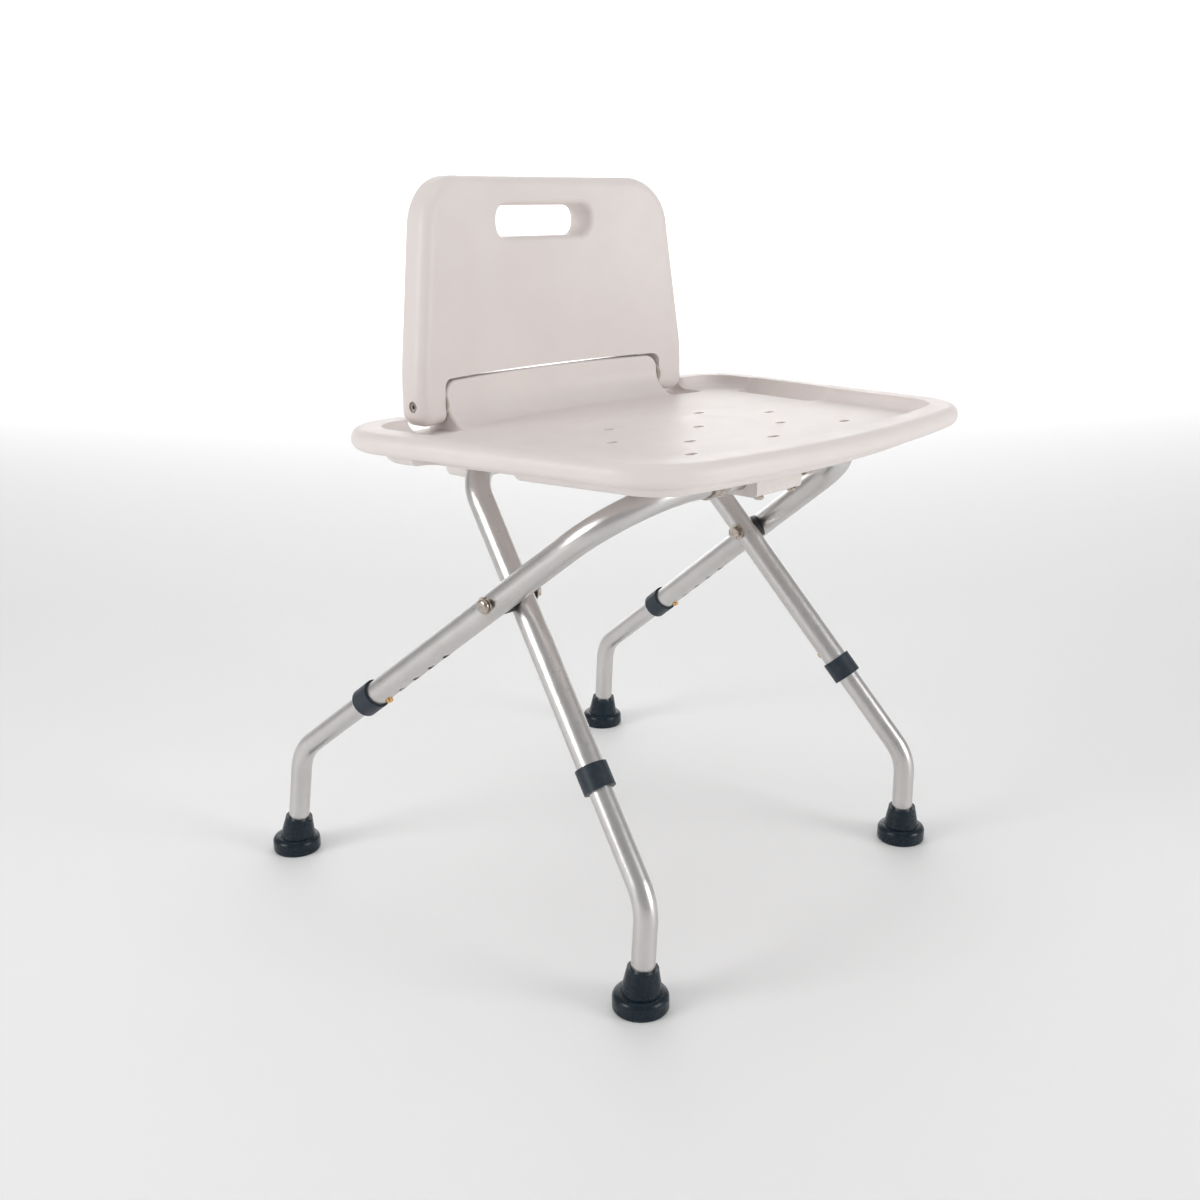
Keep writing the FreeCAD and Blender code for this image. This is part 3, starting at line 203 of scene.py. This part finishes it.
def dress_nodes():
    """Give every CAD node the material of its record slot."""
    looks = {
        "panel_plastic": moulded_panel(),
        "tube_aluminium": anodised_tube(),
        "foot_rubber": foot_rubber(),
        "collar_plastic": grained_plastic(
            "collar_plastic", (0.014, 0.024, 0.036), (0.024, 0.037, 0.050), 0.42),
        "spacer_plastic": grained_plastic(
            "spacer_plastic", (0.006, 0.006, 0.007), (0.014, 0.014, 0.015), 0.45),
        "block_plastic": grained_plastic(
            "block_plastic", (0.76, 0.71, 0.675), (0.80, 0.755, 0.72), 0.45),
        "washer_plastic": grained_plastic(
            "nylon_washer", (0.62, 0.59, 0.53), (0.70, 0.67, 0.61), 0.38),
        "fastener_steel": bright_metal(
            "nickel_fastener", (0.36, 0.31, 0.27), (0.62, 0.56, 0.50), 0.20),
        "disc_steel": bright_metal("zinc_disc", (0.45, 0.45, 0.44), (0.62, 0.62, 0.60), 0.34),
        "spring_steel": bright_metal("spring_strip", (0.34, 0.34, 0.35), (0.5, 0.5, 0.5), 0.30),
        "button_brass": bright_metal("button_brass", (0.60, 0.33, 0.11), (0.80, 0.50, 0.20), 0.24),
    }
    for part in frame["record"]["subparts"]:
        for slot in frame["nodes"][part["node"]].material_slots:
            slot.material = looks[part["material_slot"]]


# ---------------------------------------------------------------- camera, floor and lights

def make_camera():
    """Camera at the viewing angle that was solved for."""
    data = bpy.data.cameras.new("camera")
    data.lens = CAMERA_LENS
    data.sensor_width = CAMERA_SENSOR
    data.clip_end = CAMERA_FAR
    camera = bpy.data.objects.new("camera", data)
    turn = Matrix.Rotation(CAMERA_YAW, 4, "Z")
    tilt = Matrix.Rotation(math.pi / 2 - CAMERA_PITCH, 4, "X")
    roll = Matrix.Rotation(CAMERA_ROLL, 4, "Z")
    camera.matrix_world = Matrix.Translation(CAMERA_PLACE) @ turn @ tilt @ roll
    bpy.context.scene.collection.objects.link(camera)
    bpy.context.scene.camera = camera


def floor_material():
    """Plain pale paint."""
    material = bpy.data.materials.new("floor_paint")
    material.use_nodes = True
    shader = material.node_tree.nodes["Principled BSDF"]
    shader.inputs["Base Color"].default_value = (*FLOOR_COLOUR, 1.0)
    shader.inputs["Roughness"].default_value = FLOOR_ROUGHNESS
    return material


def make_floor():
    """Plain pale floor that curves up into a backdrop, turned square to the camera."""
    rows = [(FLOOR_NEAR, 0.0), (FLOOR_FAR, 0.0)]
    for step in range(1, COVE_STEPS + 1):
        angle = math.pi / 2 * step / COVE_STEPS
        depth = FLOOR_FAR + COVE_RADIUS * math.sin(angle)
        rows.append((depth, COVE_RADIUS - COVE_RADIUS * math.cos(angle)))
    rows.append((FLOOR_FAR + COVE_RADIUS, BACKDROP_HEIGHT))
    verts = []
    for depth, height in rows:
        verts += [(-FLOOR_HALF_WIDTH, depth, height), (FLOOR_HALF_WIDTH, depth, height)]
    faces = []
    for row in range(len(rows) - 1):
        first = 2 * row
        faces.append((first, first + 1, first + 3, first + 2))
    mesh = bpy.data.meshes.new("floor")
    mesh.from_pydata(verts, [], faces)
    for polygon in mesh.polygons:
        polygon.use_smooth = True
    mesh.materials.append(floor_material())
    floor = bpy.data.objects.new("floor", mesh)
    floor.rotation_euler = (0.0, 0.0, CAMERA_YAW)
    bpy.context.scene.collection.objects.link(floor)


def make_world():
    """Even white surroundings."""
    world = bpy.data.worlds.new("studio")
    world.use_nodes = True
    background = world.node_tree.nodes["Background"]
    background.inputs["Color"].default_value = (1.0, 1.0, 1.0, 1.0)
    background.inputs["Strength"].default_value = WORLD_STRENGTH
    bpy.context.scene.world = world


def make_light(name, place, target, width, height, power):
    """White rectangular area light that faces its target."""
    data = bpy.data.lights.new(name, "AREA")
    data.shape = "RECTANGLE"
    data.size = width
    data.size_y = height
    data.energy = power
    light = bpy.data.objects.new(name, data)
    light.location = place
    aim = Vector(target) - Vector(place)
    light.rotation_euler = aim.to_track_quat("-Z", "Y").to_euler()
    bpy.context.scene.collection.objects.link(light)


dress_nodes()
make_camera()
make_floor()
make_world()
for light_values in LIGHTS:
    make_light(*light_values)
bpy.context.scene.view_settings.view_transform = "Standard"
